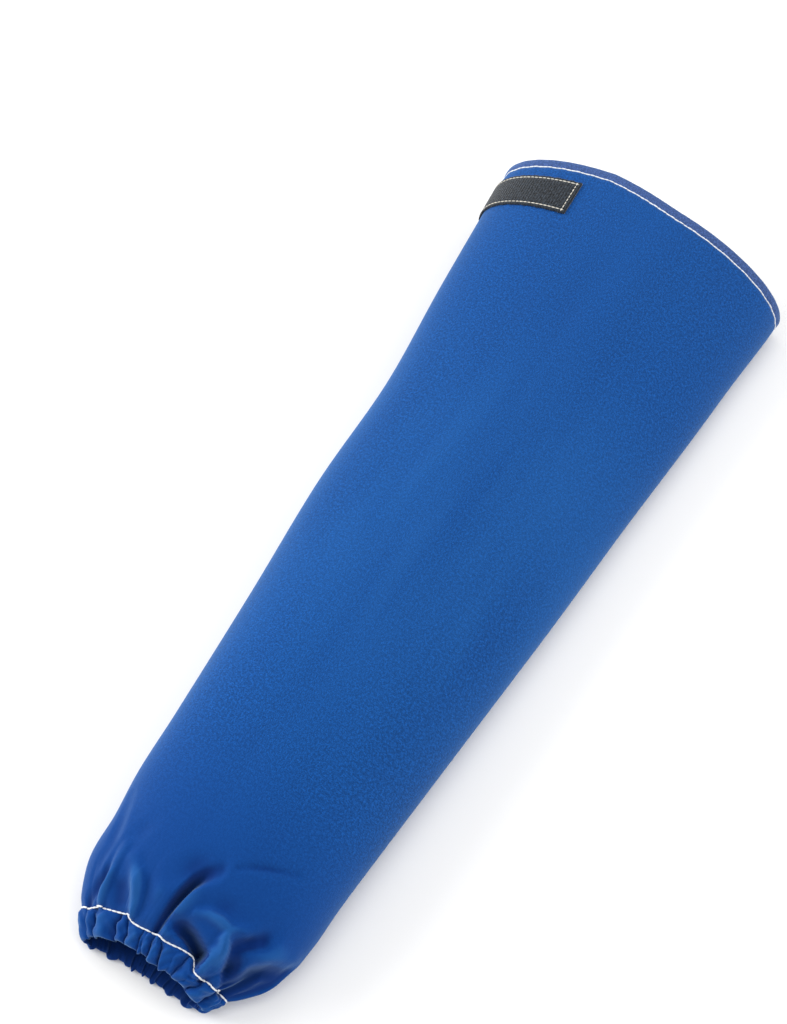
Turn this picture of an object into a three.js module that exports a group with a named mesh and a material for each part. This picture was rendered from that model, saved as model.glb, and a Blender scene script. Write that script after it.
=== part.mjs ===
// Welding sleeve of blue cotton: a soft tapered tube that lies half flattened.
// Lengths are in millimetres. The sleeve lies along Y with its wrist towards -Y and the upper
// opening towards +Y. X runs across it, the crown is up +Z, and it rests on Z = 0.
import * as THREE from "three";

// Driving sizes
const LENGTH = 530;
const UPPER_WIDTH = 196.5;
const BODY_HEIGHT = 60;
const WALL = 1.5;
const GAP = 0.3;

// Upper hem, turned in twice
const HEM_DEPTH = 7;
const HEM_WALL = 2.6;
const HEM_ROUND = 0.8;

// Wrist casing, gathered on its elastic
const CASING_DEPTH = 12;
const CASING_WALL = 3.2;
const LIP_ROUND = 1.1;
const GATHERS = 22;
const GATHER_HEIGHT = 1.7;
const GATHER_REACH = 40;
const STITCH_PINCH = 0.9;
const STITCH_PINCH_WIDTH = 3.5;

// Tape of the closure, a loop strip and a hook tab of one width
const TAPE_WIDTH = 25.4;
const TAPE = 1.5;
const TAPE_BELOW_HEM = 9.5;
const STRIP_LENGTH = 140;
const TAB_LENGTH = 50;
const STRIP_FROM = 0.358;
const TAB_FROM = 0.8;

// How the tube lies: the bow of its upper edge, the wrist's two corners that reach forward, the
// crown and the right end of its lip that are drawn back, and the lift over the tape underneath
const UPPER_BOW = 3;
const CORNER_REACH = 3;
const CORNER_RUN = 50;
const LIP_SET_BACK = 4;
const LIP_TUCK = 3.5;
const LIFT_SPARE = 0.2;
const TAPE_LIFT = 2 * (TAPE + GAP) + LIFT_SPARE;
const LIFT_AHEAD = 5;
const LIFT_RUN = 28;
const UNDER_SLOPE = 1.25;

// Points round the tube, four to a gather
const AROUND = 4 * GATHERS;

// Sections from the wrist lip to the upper edge. along is a share of LENGTH; width and shift are
// shares of UPPER_WIDTH; crown, left and right (the heights of the widest lines) of BODY_HEIGHT.
const SECTIONS = [
  { along: 0.0, width: 0.347, crown: 0.45, left: 0.1, right: 0.15, shift: -0.004 },
  { along: 0.024, width: 0.443, crown: 0.56, left: 0.15, right: 0.15, shift: -0.007 },
  { along: 0.055, width: 0.558, crown: 0.74, left: 0.28, right: 0.16, shift: 0.01 },
  { along: 0.095, width: 0.585, crown: 0.9, left: 0.38, right: 0.18, shift: 0.02 },
  { along: 0.14, width: 0.606, crown: 0.98, left: 0.43, right: 0.2, shift: 0.015 },
  { along: 0.2, width: 0.627, crown: 1.0, left: 0.47, right: 0.2, shift: 0.015 },
  { along: 0.35, width: 0.699, crown: 1.0, left: 0.47, right: 0.2, shift: 0.008 },
  { along: 0.5, width: 0.777, crown: 0.97, left: 0.47, right: 0.2, shift: -0.002 },
  { along: 0.65, width: 0.824, crown: 0.97, left: 0.47, right: 0.2, shift: -0.002 },
  { along: 0.8, width: 0.909, crown: 1.0, left: 0.5, right: 0.2, shift: -0.016 },
  { along: 1.0, width: 1.0, crown: 1.1, left: 0.57, right: 0.2, shift: -0.033 },
];

// Height of the gathers, as shares of GATHER_HEIGHT. at runs from -1 at the wrist lip to 0 at the
// stitch line of the casing, then to 1 where the gathers have run out.
const GATHER_RUN = [
  { at: -1.0, height: 1.0 },
  { at: -0.5, height: 0.7 },
  { at: 0.0, height: 0.6 },
  { at: 0.16, height: 0.95 },
  { at: 0.45, height: 0.5 },
  { at: 1.0, height: 0.0 },
];

// Folds and dents of the laid cloth, each about its own path. Points of a path are shares of LENGTH
// and shares of the way round from the right side over the crown. half_width is a share of
// BODY_HEIGHT, and so is the rise at the start, the middle and the end, with dents below zero.
const FOLDS = [
  {
    name: "valley by the left edge", half_width: 0.05, start: -0.007, middle: -0.021, end: -0.015,
    path: [[0.113, 0.446], [0.088, 0.434], [0.068, 0.425], [0.0535, 0.43], [0.0415, 0.434]],
  },
  {
    name: "left valley", half_width: 0.05, start: -0.015, middle: -0.044, end: -0.032,
    path: [[0.07, 0.406], [0.056, 0.405], [0.0435, 0.413], [0.034, 0.429], [0.027, 0.441]],
  },
  {
    name: "left ridge", half_width: 0.05, start: 0.014, middle: 0.034, end: 0.028,
    path: [[0.0715, 0.4], [0.0595, 0.401], [0.047, 0.402], [0.0375, 0.405], [0.026, 0.408]],
  },
  {
    name: "panel between the ridges", half_width: 0.06, start: -0.01, middle: -0.037, end: -0.033,
    path: [[0.053, 0.383], [0.044, 0.377], [0.034, 0.372]],
  },
  {
    name: "middle ridge", half_width: 0.05, start: 0.017, middle: 0.075, end: 0.061,
    path: [[0.065, 0.375], [0.0565, 0.358], [0.0465, 0.342], [0.0375, 0.334], [0.0285, 0.332]],
  },
  {
    name: "panel right of the middle ridge", half_width: 0.067, start: -0.01, middle: -0.037, end: -0.033,
    path: [[0.0635, 0.344], [0.0505, 0.323], [0.0395, 0.312]],
  },
  {
    name: "long dent", half_width: 0.055, start: -0.02, middle: -0.107, end: -0.09,
    path: [[0.0935, 0.198], [0.0835, 0.221], [0.0735, 0.238], [0.063, 0.245], [0.052, 0.248], [0.03, 0.242]],
  },
  {
    name: "ridge right of the long dent", half_width: 0.05, start: 0.012, middle: 0.052, end: 0.038,
    path: [[0.083, 0.195], [0.073, 0.21], [0.0605, 0.22], [0.0495, 0.225], [0.0385, 0.223], [0.028, 0.214]],
  },
  {
    name: "pocket over the pleat", half_width: 0.05, start: -0.042, middle: -0.125, end: -0.146,
    path: [[0.0405, 0.222], [0.0415, 0.191], [0.0392, 0.166], [0.0352, 0.145], [0.03, 0.125]],
  },
  {
    name: "ridge right of the pocket", half_width: 0.05, start: 0.035, middle: 0.048, end: 0.021,
    path: [[0.0225, 0.103], [0.0355, 0.111], [0.045, 0.115], [0.055, 0.118]],
  },
  {
    name: "ridge over the pocket", half_width: 0.05, start: 0.021, middle: 0.051, end: 0.027,
    path: [[0.055, 0.184], [0.061, 0.161], [0.0635, 0.139], [0.0655, 0.118], [0.071, 0.1]],
  },
  {
    name: "ridge to the stitches", half_width: 0.05, start: 0.037, middle: 0.044, end: 0.03,
    path: [[0.058, 0.119], [0.0525, 0.108], [0.045, 0.099], [0.038, 0.085], [0.0275, 0.061]],
  },
  {
    name: "pocket right of that ridge", half_width: 0.05, start: -0.058, middle: -0.101, end: -0.072,
    path: [[0.0545, 0.097], [0.047, 0.09], [0.0395, 0.077], [0.0315, 0.059]],
  },
  {
    name: "cross hollow", half_width: 0.05, start: -0.04, middle: -0.072, end: -0.038,
    path: [[0.0585, 0.109], [0.062, 0.096], [0.0695, 0.083]],
  },
  {
    name: "right ridge", half_width: 0.053, start: 0.017, middle: 0.043, end: 0.023,
    path: [[0.056, 0.089], [0.064, 0.074], [0.069, 0.055], [0.0715, 0.029]],
  },
  {
    name: "right under-fold", half_width: 0.053, start: -0.05, middle: -0.133, end: -0.083,
    path: [[0.0665, 0.018], [0.056, 0.044], [0.049, 0.052], [0.042, 0.046], [0.034, 0.038], [0.0255, 0.03]],
  },
  {
    name: "hollow below the under-fold", half_width: 0.08, start: -0.027, middle: -0.083, end: -0.057,
    path: [[0.064, 0.002], [0.047, 0.02], [0.033, 0.014]],
  },
  {
    name: "cross crease", half_width: 0.05, start: -0.003, middle: -0.017, end: -0.006,
    path: [[0.104, 0.172], [0.113, 0.149], [0.1195, 0.129], [0.125, 0.112], [0.1305, 0.094]],
  },
  {
    name: "soft hollow", half_width: 0.3, start: -0.003, middle: -0.008, end: -0.003,
    path: [[0.24, 0.345], [0.15, 0.36]],
  },
  {
    name: "middle press crease", half_width: 0.16, start: -0.005, middle: -0.015, end: -0.005,
    path: [[0.53, 0.306], [0.38, 0.33]],
  },
  {
    name: "upper press crease", half_width: 0.14, start: -0.003, middle: -0.012, end: -0.003,
    path: [[0.94, 0.27], [0.62, 0.28]],
  },
];

// Rows of points, as shares of each piece's own length from the wrist
const BODY_ROWS = [
  0, 0.008, 0.016, 0.024, 0.032, 0.04, 0.048, 0.057, 0.067, 0.078, 0.09, 0.104, 0.125, 0.155,
  0.2, 0.26, 0.34, 0.43, 0.52, 0.62, 0.72, 0.81, 0.87, 0.92, 0.96, 1,
];
const BODY_INNER_ROWS = [
  0, 0.008, 0.016, 0.024, 0.032, 0.04, 0.048, 0.057, 0.067, 0.078, 0.09, 0.104, 0.125,
  0.2, 0.34, 0.52, 0.72, 0.87, 0.92, 1,
];
const CASING_ROWS = [0.3, 0.55, 0.8, 1];
const HEM_ROWS = [0, 0.5];

// Blue cotton, its hem and casing of the same cloth, and charcoal tape
const CLOTH_COLOUR = 0x1f57a4;
const HEM_COLOUR = 0x1f569f;
const CASING_COLOUR = 0x1b4c92;
const LOOP_COLOUR = 0x34363c;
const HOOK_COLOUR = 0x2b2d32;

function clamp(value, low, high) {
  return Math.min(Math.max(value, low), high);
}

function smooth(value) {
  const share = clamp(value, 0, 1);
  return share * share * (3 - 2 * share);
}

// A column of a table between its rows, through them in a smooth curve
function column(rows, key, name, where) {
  const last = rows.length - 1;
  let row = 0;
  while (row < last - 1 && where >= rows[row + 1][key]) {
    row += 1;
  }
  const slope = (low, high) => (rows[high][name] - rows[low][name]) / (rows[high][key] - rows[low][key]);
  const slopeAt = (index) => slope(Math.max(index - 1, 0), Math.min(index + 1, last));
  const run = rows[row + 1][key] - rows[row][key];
  const share = clamp((where - rows[row][key]) / run, 0, 1);
  const square = share * share;
  const cube = square * share;
  return (
    (2 * cube - 3 * square + 1) * rows[row][name] +
    (cube - 2 * square + share) * run * slopeAt(row) +
    (3 * square - 2 * cube) * rows[row + 1][name] +
    (cube - square) * run * slopeAt(row + 1)
  );
}

// The angle of a share of the way round, with the shares evenly spaced on the flattened tube
function angleAt(around) {
  return 2 * Math.PI * around + 0.25 * Math.sin(4 * Math.PI * around);
}

// How high the cloth is held off the floor by the tape underneath
function liftAt(along, around) {
  const tapeStart = LENGTH - HEM_DEPTH - TAPE_BELOW_HEM - TAPE_WIDTH - LIFT_AHEAD;
  const share = around - Math.floor(around);
  const lengthwise = smooth((along - tapeStart + LIFT_RUN) / LIFT_RUN);
  const onset = smooth((share - 0.5) / 0.05);
  const end = 1 - smooth((share - TAB_FROM - 0.015) / 0.05);
  return TAPE_LIFT * lengthwise * onset * end;
}

// Height of the gathers at one place, up and down in turn round the wrist
function gatherAt(along, around) {
  const above = along - CASING_DEPTH;
  const where = above < 0 ? above / CASING_DEPTH : above / GATHER_REACH;
  if (where >= 1) {
    return 0;
  }
  const drift = 0.35 * Math.sin(6 * Math.PI * around) + 0.2 * Math.sin(10 * Math.PI * around + 1);
  const wave = Math.cos(2 * Math.PI * (GATHERS * around + drift));
  const share = 0.78 + 0.22 * Math.sin(10 * Math.PI * around + 0.7);
  return GATHER_HEIGHT * column(GATHER_RUN, "at", "height", where) * share * wave;
}

// The pull of the casing's stitch line
function pinchAt(along) {
  const share = Math.abs(along - CASING_DEPTH) / STITCH_PINCH_WIDTH;
  return share < 1 ? -STITCH_PINCH * (1 - share * share) ** 2 : 0;
}

// The rise of a fold at a share of its path
function riseAt(fold, place) {
  if (place < 0.5) {
    return fold.start + (fold.middle - fold.start) * smooth(2 * place);
  }
  return fold.middle + (fold.end - fold.middle) * smooth(2 * place - 1);
}

// All folds and dents at one place, each a soft ridge or valley about its own path
function foldAt(along, around) {
  let total = 0;
  const girth = 5 * BODY_HEIGHT;
  for (const fold of FOLDS) {
    const turn = Math.round(fold.path[0][1] - around);
    const here = new THREE.Vector2(along, (around + turn) * girth);
    const corners = fold.path.map((point) => new THREE.Vector2(point[0] * LENGTH, point[1] * girth));
    const legs = corners.length - 1;
    let nearest = Infinity;
    let place = 0;
    for (let leg = 0; leg < legs; leg += 1) {
      const line = corners[leg + 1].clone().sub(corners[leg]);
      const share = clamp(here.clone().sub(corners[leg]).dot(line) / line.lengthSq(), 0, 1);
      const distance = here.distanceTo(corners[leg].clone().addScaledVector(line, share));
      if (distance < nearest) {
        nearest = distance;
        place = (leg + share) / legs;
      }
    }
    const ratio = nearest / (2 * fold.half_width * BODY_HEIGHT);
    if (ratio < 1) {
      total += riseAt(fold, place) * BODY_HEIGHT * (1 - ratio * ratio) ** 2;
    }
  }
  return total;
}

// A point of the sleeve. along is measured from the wrist lip, around is a share of the way round
// and inset is how far inside the cloth's outer face the point lies, or outside it below zero.
// carried is the share of the gathers that the face follows.
function sleevePoint(along, around, inset = 0, carried = 1) {
  const share = clamp(along / LENGTH, 0, 1);
  const half = (UPPER_WIDTH * column(SECTIONS, "along", "width", share)) / 2;
  const crown = BODY_HEIGHT * column(SECTIONS, "along", "crown", share);
  const left = BODY_HEIGHT * column(SECTIONS, "along", "left", share);
  const right = BODY_HEIGHT * column(SECTIONS, "along", "right", share);
  const shift = UPPER_WIDTH * column(SECTIONS, "along", "shift", share);
  const angle = angleAt(around);
  const across = Math.cos(angle);
  const rise = Math.sin(angle);
  const middle = (left + right) / 2;
  const side = middle + ((right - left) / 2) * across;
  const floor = liftAt(along, around) + inset;
  const top = crown - middle - inset;
  const under = Math.max(side - floor, 0) * Math.max(1 + UNDER_SLOPE * rise, 0);
  const bulge = gatherAt(along, around) * carried + pinchAt(along) + foldAt(along, around);
  const outward = new THREE.Vector2((across * crown) / 2, rise * half).normalize();
  const height = rise >= 0 ? Math.max(side, floor) + top * rise : floor + under;
  const forward = CORNER_REACH * smooth(1 - along / CORNER_RUN) * across * across;
  const drawn = LIP_SET_BACK * Math.max(rise, 0) + LIP_TUCK * Math.max(across, 0) ** 3;
  const back = drawn * smooth(1 - along / (1.5 * CASING_DEPTH)) + UPPER_BOW * share * rise * rise;
  return new THREE.Vector3(
    shift + (half - inset) * across + bulge * outward.x,
    along + back - forward,
    Math.max(height + bulge * outward.y, Math.max(inset, 0)),
  );
}

// One row of points right round the sleeve
function sleeveRow(along, inset, carried) {
  const row = [];
  for (let index = 0; index < AROUND; index += 1) {
    row.push(sleevePoint(along, index / AROUND, inset, carried));
  }
  return row;
}

// A mesh with its faces outward
function meshOf(name, points, triangles, colour, roughness) {
  let volume = 0;
  for (const [a, b, c] of triangles) {
    volume += points[a].dot(new THREE.Vector3().crossVectors(points[b], points[c]));
  }
  const faces = volume > 0 ? triangles : triangles.map(([a, b, c]) => [a, c, b]);
  const geometry = new THREE.BufferGeometry().setFromPoints(points);
  geometry.setIndex(faces.flat());
  geometry.computeVertexNormals();
  const material = new THREE.MeshStandardMaterial({ color: colour, roughness, metalness: 0 });
  const mesh = new THREE.Mesh(geometry, material);
  mesh.name = name;
  return mesh;
}

// A closed ring of cloth from its rows, out along one face and back along the other
function ringOf(name, rows, colour, roughness) {
  const triangles = [];
  for (let row = 0; row < rows.length; row += 1) {
    const here = row * AROUND;
    const next = ((row + 1) % rows.length) * AROUND;
    for (let index = 0; index < AROUND; index += 1) {
      const after = (index + 1) % AROUND;
      triangles.push([here + index, here + after, next + after]);
      triangles.push([here + index, next + after, next + index]);
    }
  }
  return meshOf(name, rows.flat(), triangles, colour, roughness);
}

// A closed band of tape from its stations, each a loop of points round the tape's section
function bandOf(name, stations, colour, roughness) {
  const size = stations[0].length;
  const half = size / 2;
  const triangles = [];
  for (let station = 0; station < stations.length - 1; station += 1) {
    for (let index = 0; index < size; index += 1) {
      const here = station * size;
      const after = (index + 1) % size;
      triangles.push([here + index, here + after, here + size + after]);
      triangles.push([here + index, here + size + after, here + size + index]);
    }
  }
  const end = (stations.length - 1) * size;
  for (let index = 0; index < half - 1; index += 1) {
    const far = size - 1 - index;
    triangles.push([index, far, far - 1], [index, far - 1, index + 1]);
    triangles.push([end + index, end + far - 1, end + far], [end + index, end + index + 1, end + far - 1]);
  }
  return meshOf(name, stations.flat(), triangles, colour, roughness);
}

// Shares of the way round of a tape's stations, from one place on for a length either way
function tapeStations(along, from, length, direction) {
  const stations = [from];
  let gone = 0;
  let step = direction > 0 ? Math.ceil(from * AROUND + 0.2) : Math.floor(from * AROUND - 0.2);
  while (gone < length) {
    const last = stations[stations.length - 1];
    const run = sleevePoint(along, last).distanceTo(sleevePoint(along, step / AROUND));
    const left = (length - gone) / run;
    const reached = left < 1 ? last + (step / AROUND - last) * left : step / AROUND;
    stations.push(reached);
    gone += run;
    step += direction;
  }
  return stations;
}

// The loop of points round a tape's section at one station
function tapeLoop(lines, around, height) {
  const outer = lines.map((along) => sleevePoint(along, around, -height - TAPE));
  const inner = lines.map((along) => sleevePoint(along, around, -height));
  return [...outer, ...inner.reverse()];
}

// Body of the sleeve, between the two stitch lines
const bodyStart = CASING_DEPTH + GAP;
const bodyLength = LENGTH - HEM_DEPTH - GAP - bodyStart;
const bodyOuter = BODY_ROWS.map((share) => sleeveRow(bodyStart + share * bodyLength, 0, 1));
const bodyInner = BODY_INNER_ROWS.map((share) => sleeveRow(bodyStart + share * bodyLength, WALL, 0.8));
const body = ringOf("sleeve_body", [...bodyOuter, ...bodyInner.reverse()], CLOTH_COLOUR, 0.85);

// Upper hem, with a rounded rim
const hemStart = LENGTH - HEM_DEPTH;
const hemRows = [
  ...HEM_ROWS.map((share) => sleeveRow(hemStart + share * HEM_DEPTH, 0, 1)),
  sleeveRow(LENGTH - HEM_ROUND, 0, 1),
  sleeveRow(LENGTH, HEM_ROUND, 1),
  sleeveRow(LENGTH, HEM_WALL - HEM_ROUND, 1),
  sleeveRow(LENGTH - HEM_ROUND, HEM_WALL, 1),
  sleeveRow(hemStart, HEM_WALL, 1),
];
const hem = ringOf("upper_hem", hemRows, HEM_COLOUR, 0.85);

// Wrist casing, with a rounded lip
const casingRows = [
  sleeveRow(0, LIP_ROUND, 1),
  sleeveRow(LIP_ROUND, 0, 1),
  ...CASING_ROWS.map((share) => sleeveRow(share * CASING_DEPTH, 0, 1)),
  sleeveRow(CASING_DEPTH, CASING_WALL, 0.4),
  sleeveRow(CASING_DEPTH * CASING_ROWS[1], CASING_WALL, 0.4),
  sleeveRow(LIP_ROUND, CASING_WALL, 0.4),
  sleeveRow(0, CASING_WALL - LIP_ROUND, 0.7),
];
const casing = ringOf("wrist_casing", casingRows, CASING_COLOUR, 0.88);

// Loop strip, from its sewn end on the upper side round the left side and underneath
const tapeTop = LENGTH - HEM_DEPTH - TAPE_BELOW_HEM;
const tapeLines = [tapeTop - TAPE_WIDTH, tapeTop - TAPE_WIDTH / 2, tapeTop];
const stripStations = tapeStations(tapeLines[1], STRIP_FROM, STRIP_LENGTH, 1);
const stripEnd = stripStations[stripStations.length - 1];
const stripLoops = stripStations.map((around) => tapeLoop(tapeLines, around, GAP));
const strip = bandOf("loop_strip", stripLoops, LOOP_COLOUR, 0.95);

// Hook tab, from the seam underneath back over the end of the loop strip
const tabStations = tapeStations(tapeLines[1], TAB_FROM, TAB_LENGTH, -1);
const tabLoops = tabStations.map((around) => {
  const overStrip = 1 - smooth((around - stripEnd) * AROUND - 0.6);
  return tapeLoop(tapeLines, around, GAP + (TAPE + GAP) * overStrip);
});
const tab = bandOf("hook_tab", tabLoops, HOOK_COLOUR, 0.6);

// The whole sleeve, centred over the origin and standing on Z = 0
const group = new THREE.Group();
group.name = "welding_sleeve";
group.add(body, hem, casing, strip, tab);
const box = new THREE.Box3().setFromObject(group);
const centre = box.getCenter(new THREE.Vector3());
for (const mesh of group.children) {
  mesh.geometry.translate(-centre.x, -centre.y, -box.min.z);
}

export default group;
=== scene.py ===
"""Welding sleeve of blue cotton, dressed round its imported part: cloth, hem, casing, tape and stitches."""

import json
import math

import bpy
import numpy as np
from bpy.props import FloatProperty, FloatVectorProperty, PointerProperty
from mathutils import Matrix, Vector


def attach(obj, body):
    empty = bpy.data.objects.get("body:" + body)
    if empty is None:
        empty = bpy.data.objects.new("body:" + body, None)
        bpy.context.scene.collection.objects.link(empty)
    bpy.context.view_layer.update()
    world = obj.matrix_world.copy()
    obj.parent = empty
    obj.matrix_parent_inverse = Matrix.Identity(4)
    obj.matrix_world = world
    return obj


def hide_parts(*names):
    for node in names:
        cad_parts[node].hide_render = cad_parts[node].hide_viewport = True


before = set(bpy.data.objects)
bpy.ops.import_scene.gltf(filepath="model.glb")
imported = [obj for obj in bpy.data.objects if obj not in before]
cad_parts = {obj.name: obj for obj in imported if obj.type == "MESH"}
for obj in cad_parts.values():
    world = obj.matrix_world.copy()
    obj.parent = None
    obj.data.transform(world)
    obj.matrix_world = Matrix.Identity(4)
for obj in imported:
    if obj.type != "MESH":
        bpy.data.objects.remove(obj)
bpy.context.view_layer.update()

bl_info = {
    "name": "Welding sleeve",
    "version": (1, 0, 0),
    "blender": (4, 5, 0),
    "location": "3D View > Sidebar > Sleeve",
    "description": "Makes the cloth, hem, casing, tape and stitching of a welding sleeve",
    "category": "Object",
}

# Sizes of the sleeve in millimetres and shares of the way round, the same as the part's own
LENGTH = 530.0
UPPER_WIDTH = 196.5
BODY_HEIGHT = 60.0
GAP = 0.3
HEM_DEPTH = 7.0
CASING_DEPTH = 12.0
GATHERS = 22
GATHER_REACH = 40.0
TAPE_WIDTH = 25.4
TAPE = 1.5
TAPE_BELOW_HEM = 9.5
STRIP_LENGTH = 140.0
TAB_LENGTH = 50.0
STRIP_FROM = 0.358
TAB_FROM = 0.8
UPPER_BOW = 3.0
CORNER_REACH = 3.0
CORNER_RUN = 50.0
LIP_SET_BACK = 4.0
LIP_TUCK = 3.5
LIFT_SPARE = 0.2
TAPE_LIFT = 2 * (TAPE + GAP) + LIFT_SPARE
LIFT_RUN = 28.0
LIFT_AHEAD = 5.0
UNDER_SLOPE = 1.25
HEM_LINE = LENGTH - HEM_DEPTH
TAPE_TOP = HEM_LINE - TAPE_BELOW_HEM

# Finer sizes of the dressed cloth: the gathers, the seam, the hem's soft corner and the spread of
# its right end, the lip's scallops, the stitches' grooves, the layers, and how the tape lies
GATHER_HEIGHT = 1.7
SEAM_AT = 0.812
SEAM_HEIGHT = 0.5
HEM_CORNER = 4.4
HEM_CORNER_AT = 0.326
SIDE_FLARE = 1.3
LIP_SCALLOP = 1.5
STITCH_GROOVE = 0.9
HEM_GROOVE = 0.45
HEM_LAYERS = 2.4
CASING_LAYERS = 2.9
TAPE_OFF_CLOTH = 0.25
TAPE_MARGIN = 2.0

# Points round the body and the casing, and along a row of stitches
BODY_STEPS = 20 * GATHERS
CASING_STEPS = 24 * GATHERS
ROW_STEPS = 900

# Where the camera looks from, in degrees, and what it looks at, in metres from the part's middle
CAMERA_AZIMUTH = 31.98
CAMERA_ELEVATION = 57.0
CAMERA_TARGET = (-0.02747, 0.01253, 0.02)

# Middle of the laid sleeve, which the part is centred on
MIDDLE = (-6.48, 265.0, 0.0)

# Sections from the wrist lip to the upper edge: place, width, crown, left and right side, shift
SECTIONS = np.array([
    (0.0, 0.347, 0.45, 0.1, 0.15, -0.004),
    (0.024, 0.443, 0.56, 0.15, 0.15, -0.007),
    (0.055, 0.558, 0.74, 0.28, 0.16, 0.01),
    (0.095, 0.585, 0.9, 0.38, 0.18, 0.02),
    (0.14, 0.606, 0.98, 0.43, 0.2, 0.015),
    (0.2, 0.627, 1.0, 0.47, 0.2, 0.015),
    (0.35, 0.699, 1.0, 0.47, 0.2, 0.008),
    (0.5, 0.777, 0.97, 0.47, 0.2, -0.002),
    (0.65, 0.824, 0.97, 0.47, 0.2, -0.002),
    (0.8, 0.909, 1.0, 0.5, 0.2, -0.016),
    (1.0, 1.0, 1.1, 0.57, 0.2, -0.033),
])

# Height of the gathers, from -1 at the lip to 0 at the stitch line and 1 where they run out
GATHER_RUN = np.array([
    (-1.0, 0.9), (-0.5, 1.0), (-0.15, 0.6), (0.0, 0.3), (0.16, 0.5), (0.45, 0.2), (1.0, 0.0),
])

# Tight creases of the gathered casing: a share round at the stitch line, then at the lip, the
# depth of the crease and how far the pillow after it hangs over the lip in millimetres
CREASES = [
    (0.007, -0.014, 0.9, 0.3), (0.04, 0.028, 1.3, 1.0), (0.082, 0.078, 1.3, 0.0), (0.104, 0.106, 0.5, 0.5),
    (0.124, 0.134, 1.7, 0.2), (0.15, 0.15, 0.5, 1.3), (0.209, 0.174, 1.3, 1.3), (0.23, 0.237, 1.3, 0.2),
    (0.262, 0.268, 0.5, 1.0), (0.283, 0.279, 0.9, 0.4), (0.333, 0.346, 1.3, 0.1), (0.355, 0.376, 1.4, 0.7),
    (0.42, 0.444, 1.4, 0.1), (0.44, 0.47, 1.1, 0.6), (0.496, 0.507, 0.9, 0.3), (0.533, 0.527, 1.1, 1.3),
    (0.551, 0.56, 0.7, 0.2), (0.6, 0.592, 1.2, 1.4), (0.621, 0.624, 0.8, 0.1), (0.637, 0.645, 0.9, 0.7),
    (0.684, 0.676, 1.2, 1.3), (0.704, 0.7, 0.7, 0.3), (0.72, 0.726, 1.1, 0.8), (0.741, 0.744, 0.7, 0.1),
    (0.783, 0.775, 1.2, 1.2), (0.801, 0.806, 0.8, 0.3), (0.845, 0.838, 1.1, 1.1), (0.862, 0.868, 0.6, 0.1),
    (0.907, 0.899, 1.1, 1.2), (0.926, 0.932, 0.8, 0.2), (0.968, 0.962, 1.0, 0.8),
]

# How far the casing's stitch line wanders along the sleeve: a share round, then millimetres
WANDER = np.array([
    (0.0, 0.0), (0.045, 0.3), (0.052, -0.9), (0.063, -1.4), (0.077, -1.1), (0.088, -1.9), (0.099, -2.6),
    (0.107, -2.0), (0.113, 0.0), (0.118, 1.9), (0.124, 2.9), (0.13, 3.0), (0.154, 2.3), (0.171, 1.5),
    (0.195, 0.7), (0.214, 0.5), (0.221, 1.3), (0.257, 0.5), (0.289, -0.1), (0.312, -0.3), (0.33, 0.3),
    (0.337, 2.1), (0.357, 1.5), (0.383, 0.5), (0.409, -0.2), (0.434, -1.4), (0.467, -1.6), (0.53, -0.6),
    (0.64, 0.5), (0.72, -0.6), (0.83, 0.6), (0.92, -0.5), (1.0, 0.0),
])

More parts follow.
